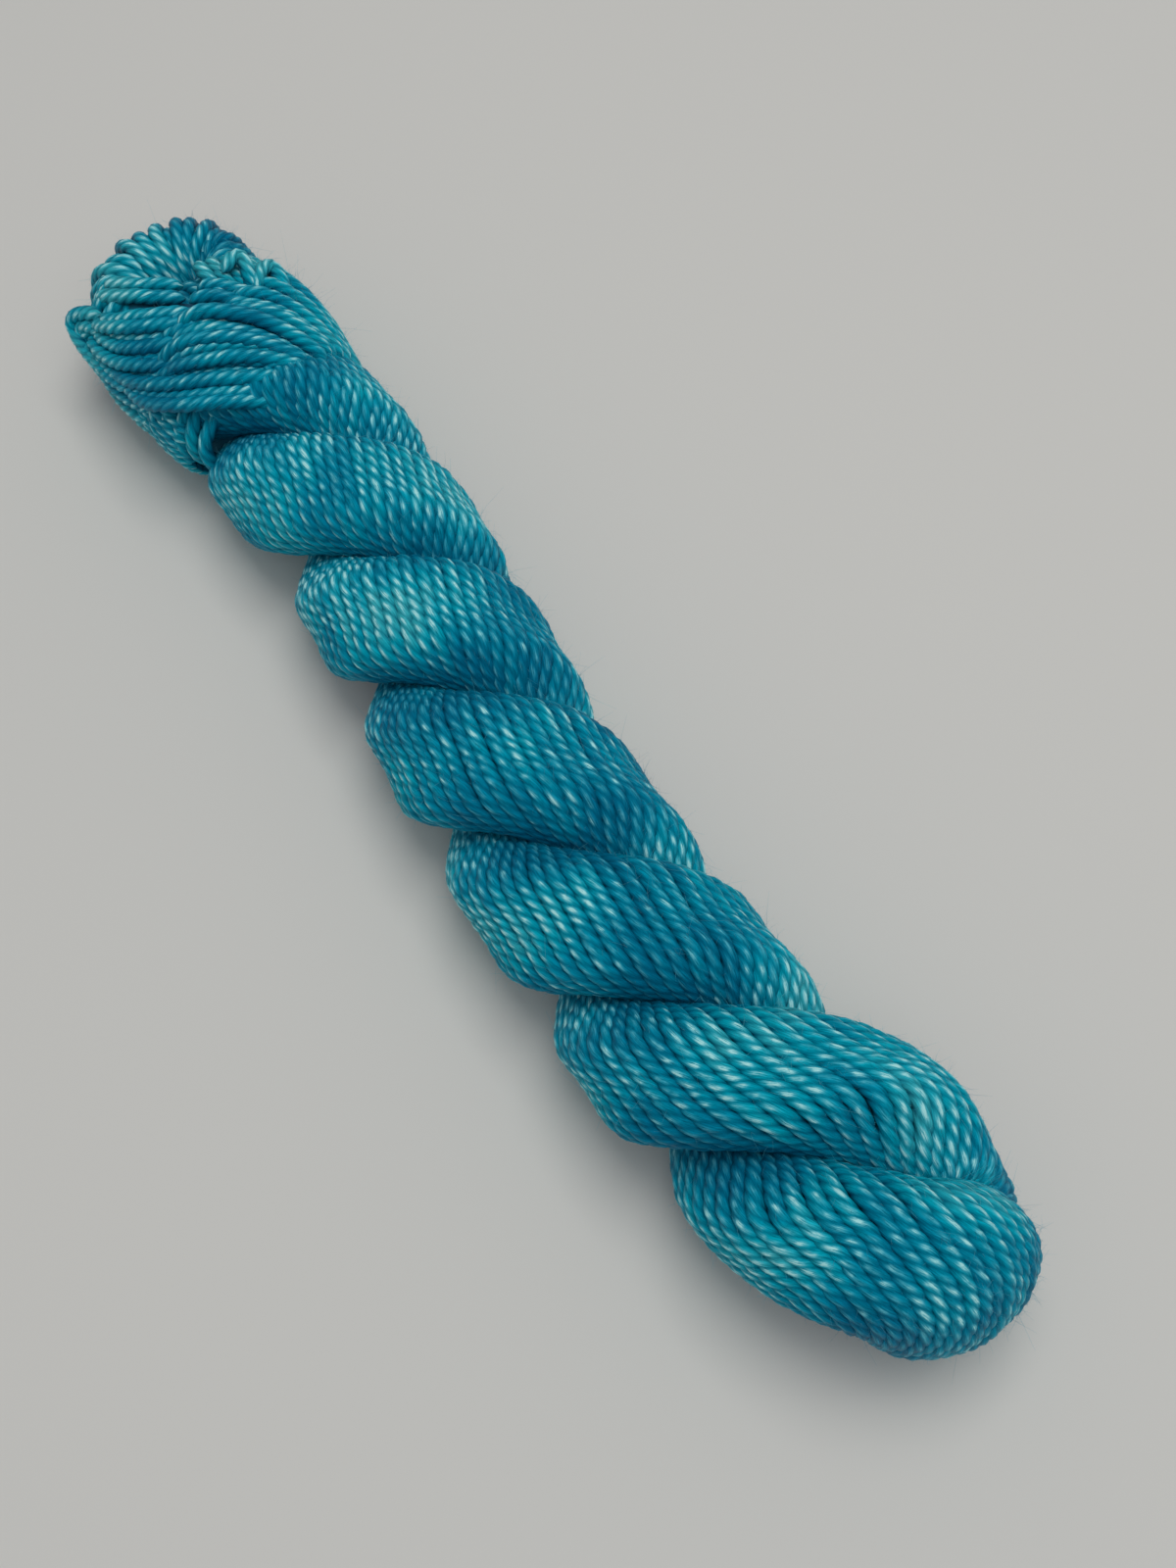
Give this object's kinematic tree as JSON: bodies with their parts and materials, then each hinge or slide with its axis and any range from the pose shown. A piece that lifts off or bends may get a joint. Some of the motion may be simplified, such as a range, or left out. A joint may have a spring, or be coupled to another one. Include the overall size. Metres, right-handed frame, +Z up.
{
  "type": "skein of needlepoint thread",
  "caption": "Hand-dyed plied needlepoint thread in a twisted skein, its legs plied round each other, with a folded end and a tucked end.",
  "frame": {"origin": "bottom centre of the skein's box, on the surface that it lies on", "axes": "+X along the skein from its tucked head to its fold, +Y across it, +Z up"},
  "size_m": [0.1576, 0.03, 0.0233],
  "materials": {
    "thread": "soft silky plied yarn, turquoise with paler and deeper dye patches"
  },
  "bodies": {
    "root": {"skein": "thread"}
  },
  "joints": []
}
